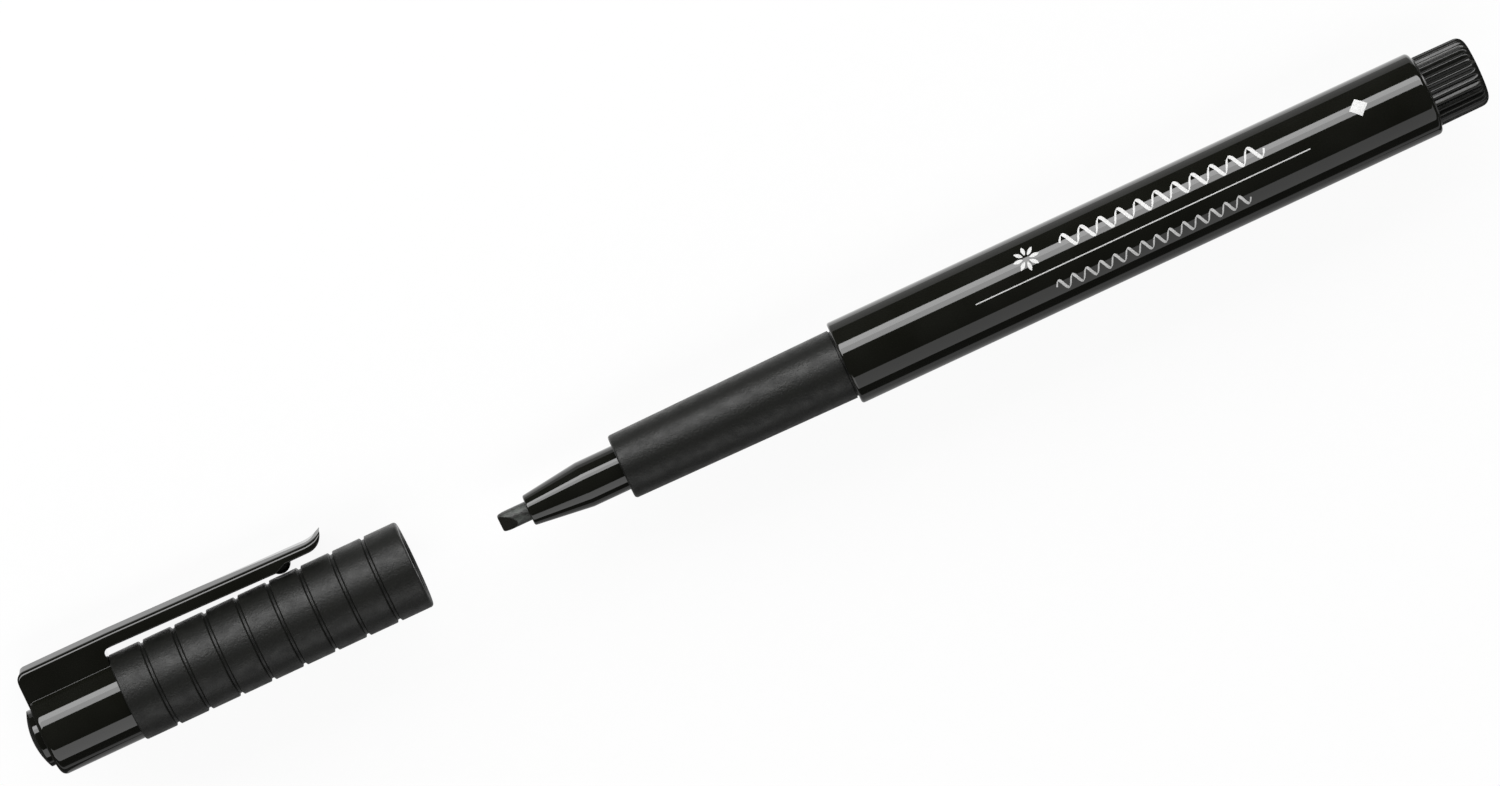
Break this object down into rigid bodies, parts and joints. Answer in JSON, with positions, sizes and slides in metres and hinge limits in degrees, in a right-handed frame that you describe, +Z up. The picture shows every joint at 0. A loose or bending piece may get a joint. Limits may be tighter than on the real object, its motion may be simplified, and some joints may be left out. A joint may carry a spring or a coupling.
{
  "type": "calligraphy marker",
  "caption": "Fibre-tip calligraphy marker with a square chisel nib, a matte grip, a ribbed end plug and a clip cap pulled off ahead of the nib.",
  "frame": {"origin": "on the pen's axis at the barrel's front shoulder, where the cap's mouth stops when the cap is on", "axes": "+X along the pen's axis from the cap towards the rear plug, +Z up from the surface that the marker lies on, +Y to the side that the clip points to"},
  "size_m": [0.199, 0.0149, 0.0116],
  "materials": {
    "gloss_black": "polished moulded black plastic",
    "grained_black": "matte black plastic with a fine spark-eroded grain",
    "plug_black": "semi-gloss black plastic with lengthwise ribs",
    "nib_fibre": "bonded fibre rod, dark with ink at the cut",
    "filler_fibre": "soft fibre filler soaked with black ink",
    "film": "thin translucent film",
    "liner_plastic": "soft satin polyethylene"
  },
  "bodies": {
    "pen": {"barrel": "gloss_black", "rear_plug": "plug_black", "grip_section": "grained_black", "nose_cone": "gloss_black", "chisel_nib": "nib_fibre", "ink_reservoir": "filler_fibre", "reservoir_wrap": "film", "breather_tube": "film"},
    "cap": {"cap_sleeve": "grained_black", "cap_crown": "gloss_black", "inner_cap": "liner_plastic", "end_button": "gloss_black"},
    "clip": {"clip_arm": "gloss_black"}
  },
  "joints": [
    {"name": "cap_slide", "type": "slide", "parent": "pen", "child": "cap", "axis": [1, 0, 0], "range_m": [0, 0.05915]},
    {"name": "clip_flex", "type": "hinge", "parent": "cap", "child": "clip", "pos_m": [-0.09775, 0.00729, -0.00314], "axis": [0, 0.396, 0.9183], "range_deg": [0, 3.5], "stiffness_Nm_per_rad": 1.5}
  ]
}
